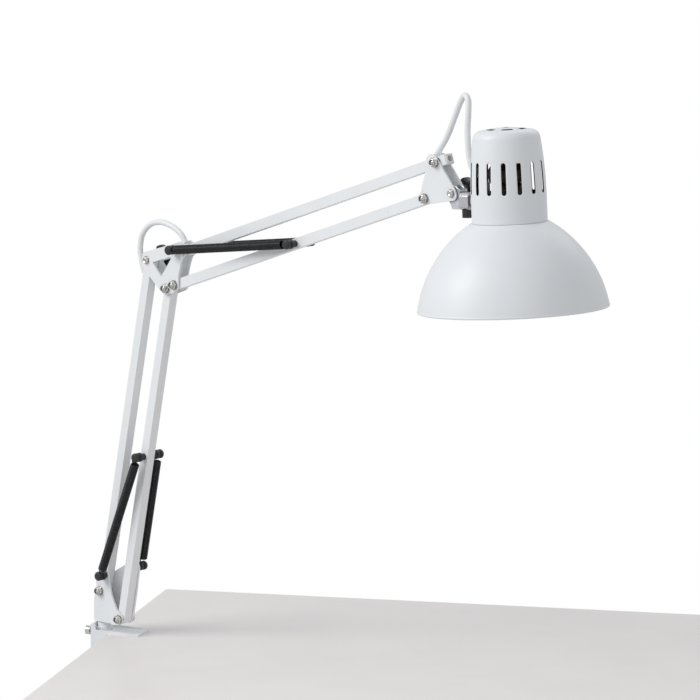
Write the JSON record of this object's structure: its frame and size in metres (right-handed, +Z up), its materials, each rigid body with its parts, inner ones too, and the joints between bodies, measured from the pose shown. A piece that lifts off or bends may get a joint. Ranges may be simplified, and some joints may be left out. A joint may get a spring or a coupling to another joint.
{
  "type": "led table lamp",
  "caption": "Clamp-on desk lamp: double parallelogram arm of square tubes balanced by outer springs, with a slotted cap and domed reflector on a tilting head.",
  "frame": {"origin": "the swivel pin's axis at the underside of the clamp's top jaw, at the desk's edge", "axes": "+Z up along the swivel pin; +X forward in the plane of the arm toward the shade; +Y to the rear, the knobs' side"},
  "size_m": [0.6956, 0.1802, 0.9414],
  "materials": {
    "white_paint": "gloss white powder coat",
    "white_sheet": "gloss white paint on thin sheet",
    "zinc": "bright zinc plating",
    "nickel": "bright nickel plating",
    "black_spring": "black oiled spring steel",
    "bobbin_black": "moulded",
    "black_plastic": "moulded, fine grain",
    "white_plastic": "moulded",
    "lead_white": "smooth sheath",
    "rubber_grey": "matt",
    "die_cast": "die-cast",
    "cap_metal": "plated shell",
    "opal": "opal diffuser",
    "pin_brass": "nickelled"
  },
  "bodies": {
    "clamp": {"clamp_frame": "white_paint", "pin_socket": "white_paint", "lock_screw": "nickel", "mains_lead": "lead_white", "switch_body": "white_plastic", "lead_coil": "lead_white", "coil_tie": "white_plastic", "plug_body": "white_plastic", "plug_pins": "pin_brass"},
    "pad": {"clamp_pad": "zinc", "pad_face": "rubber_grey"},
    "spindle": {"clamp_spindle": "zinc"},
    "tommy": {"tommy_bar": "zinc"},
    "rocker": {"switch_rocker": "white_plastic"},
    "base": {"swivel_pin": "zinc", "base_plates": "white_paint", "base_web": "white_paint", "base_bolts": "nickel", "base_posts": "zinc", "base_bobbins": "bobbin_black", "lower_spring_front": "black_spring", "lower_spring_rear": "black_spring", "base_lead": "lead_white"},
    "lower_left": {"lower_left_tube": "white_paint", "elbow_lead_a": "lead_white"},
    "lower_right": {"lower_right_tube": "white_paint", "lower_bar": "zinc", "lower_bobbins": "bobbin_black"},
    "elbow": {"elbow_plates": "white_paint", "elbow_bolts": "nickel", "elbow_stud": "nickel", "elbow_post": "zinc", "elbow_bobbins": "bobbin_black", "upper_spring_front": "black_spring", "upper_spring_rear": "black_spring"},
    "elbow_knob": {"elbow_knob": "black_plastic"},
    "upper_low": {"upper_low_tube": "white_paint", "upper_bar": "zinc", "upper_bobbins": "bobbin_black"},
    "upper_top": {"upper_top_tube": "white_paint", "upper_end_cap": "white_plastic", "elbow_lead_b": "lead_white", "head_lead_a": "lead_white"},
    "head": {"head_plates": "white_paint", "head_bolts": "nickel", "head_stud": "nickel"},
    "head_knob": {"head_knob": "black_plastic"},
    "tilt": {"tilt_yoke": "zinc", "stem_block": "die_cast", "friction_screw": "black_plastic", "head_lead_b": "lead_white"},
    "shade": {"stem": "nickel", "shade_cap": "white_sheet", "cap_grommet": "white_plastic", "shade_bowl": "white_sheet", "holder_strap": "zinc", "lamp_holder": "white_plastic", "bulb_base": "cap_metal", "bulb_glass": "opal", "head_lead_c": "lead_white"}
  },
  "joints": [
    {"name": "base_swivel", "type": "hinge", "parent": "clamp", "child": "base", "pos_m": [0, 0, 0.0106], "axis": [0, 0, 1], "range_deg": [-165, 165]},
    {"name": "lower_tilt", "type": "hinge", "parent": "base", "child": "lower_left", "pos_m": [0.002, 0, 0.044], "axis": [0, 1, 0], "range_deg": [-30, 45]},
    {"name": "lower_follow", "type": "hinge", "parent": "base", "child": "lower_right", "pos_m": [0.0305, 0, 0.018], "axis": [0, 1, 0], "range_deg": [-30, 45], "deforming": ["lower_spring_front", "lower_spring_rear"]},
    {"name": "elbow_level", "type": "hinge", "parent": "lower_left", "child": "elbow", "pos_m": [0.07521, 0, 0.39443], "axis": [0, 1, 0], "range_deg": [-45, 30], "deforming": ["elbow_lead_a"]},
    {"name": "upper_tilt", "type": "hinge", "parent": "elbow", "child": "upper_low", "pos_m": [0.11501, 0, 0.37303], "axis": [0, 1, 0], "range_deg": [-32, 55], "deforming": ["upper_spring_front", "upper_spring_rear"]},
    {"name": "upper_follow", "type": "hinge", "parent": "elbow", "child": "upper_top", "pos_m": [0.12821, 0, 0.40833], "axis": [0, 1, 0], "range_deg": [-32, 55], "deforming": ["elbow_lead_b"]},
    {"name": "head_level", "type": "hinge", "parent": "upper_top", "child": "head", "pos_m": [0.4711, 0, 0.5244], "axis": [0, 1, 0], "range_deg": [-55, 32], "deforming": ["head_lead_a"]},
    {"name": "head_tilt", "type": "hinge", "parent": "head", "child": "tilt", "pos_m": [0.4918, 0, 0.4968], "axis": [0, 1, 0], "range_deg": [-30, 60], "deforming": ["head_lead_b"]},
    {"name": "shade_turn", "type": "hinge", "parent": "tilt", "child": "shade", "pos_m": [0.49225, 0, 0.48956], "axis": [0.998, 0, 0.0628], "range_deg": [-90, 90], "deforming": ["head_lead_c"]},
    {"name": "elbow_knob_turn", "type": "hinge", "parent": "elbow", "child": "elbow_knob", "pos_m": [0.07521, 0.0144, 0.39443], "axis": [0, 1, 0], "continuous": true},
    {"name": "head_knob_turn", "type": "hinge", "parent": "head", "child": "head_knob", "pos_m": [0.4918, 0.0144, 0.4968], "axis": [0, 1, 0], "continuous": true},
    {"name": "pad_travel", "type": "slide", "parent": "clamp", "child": "pad", "axis": [0, 0, 1], "range_m": [-0.027, 0.023]},
    {"name": "spindle_turn", "type": "hinge", "parent": "pad", "child": "spindle", "pos_m": [0.02447, 0.01141, -0.1], "axis": [0, 0, 1], "continuous": true},
    {"name": "tommy_slide", "type": "slide", "parent": "spindle", "child": "tommy", "axis": [-0.4226, 0.9063, 0], "range_m": [-0.017, 0.017]},
    {"name": "rocker_click", "type": "hinge", "parent": "clamp", "child": "rocker", "pos_m": [-0.02263, -0.01772, -0.166], "axis": [0.9063, 0.4226, 0], "range_deg": [-8, 8]}
  ],
  "couplings": [
    {"joint": "lower_follow", "follows": "lower_tilt", "ratio": 1},
    {"joint": "elbow_level", "follows": "lower_tilt", "ratio": -1},
    {"joint": "upper_follow", "follows": "upper_tilt", "ratio": 1},
    {"joint": "head_level", "follows": "upper_tilt", "ratio": -1}
  ]
}
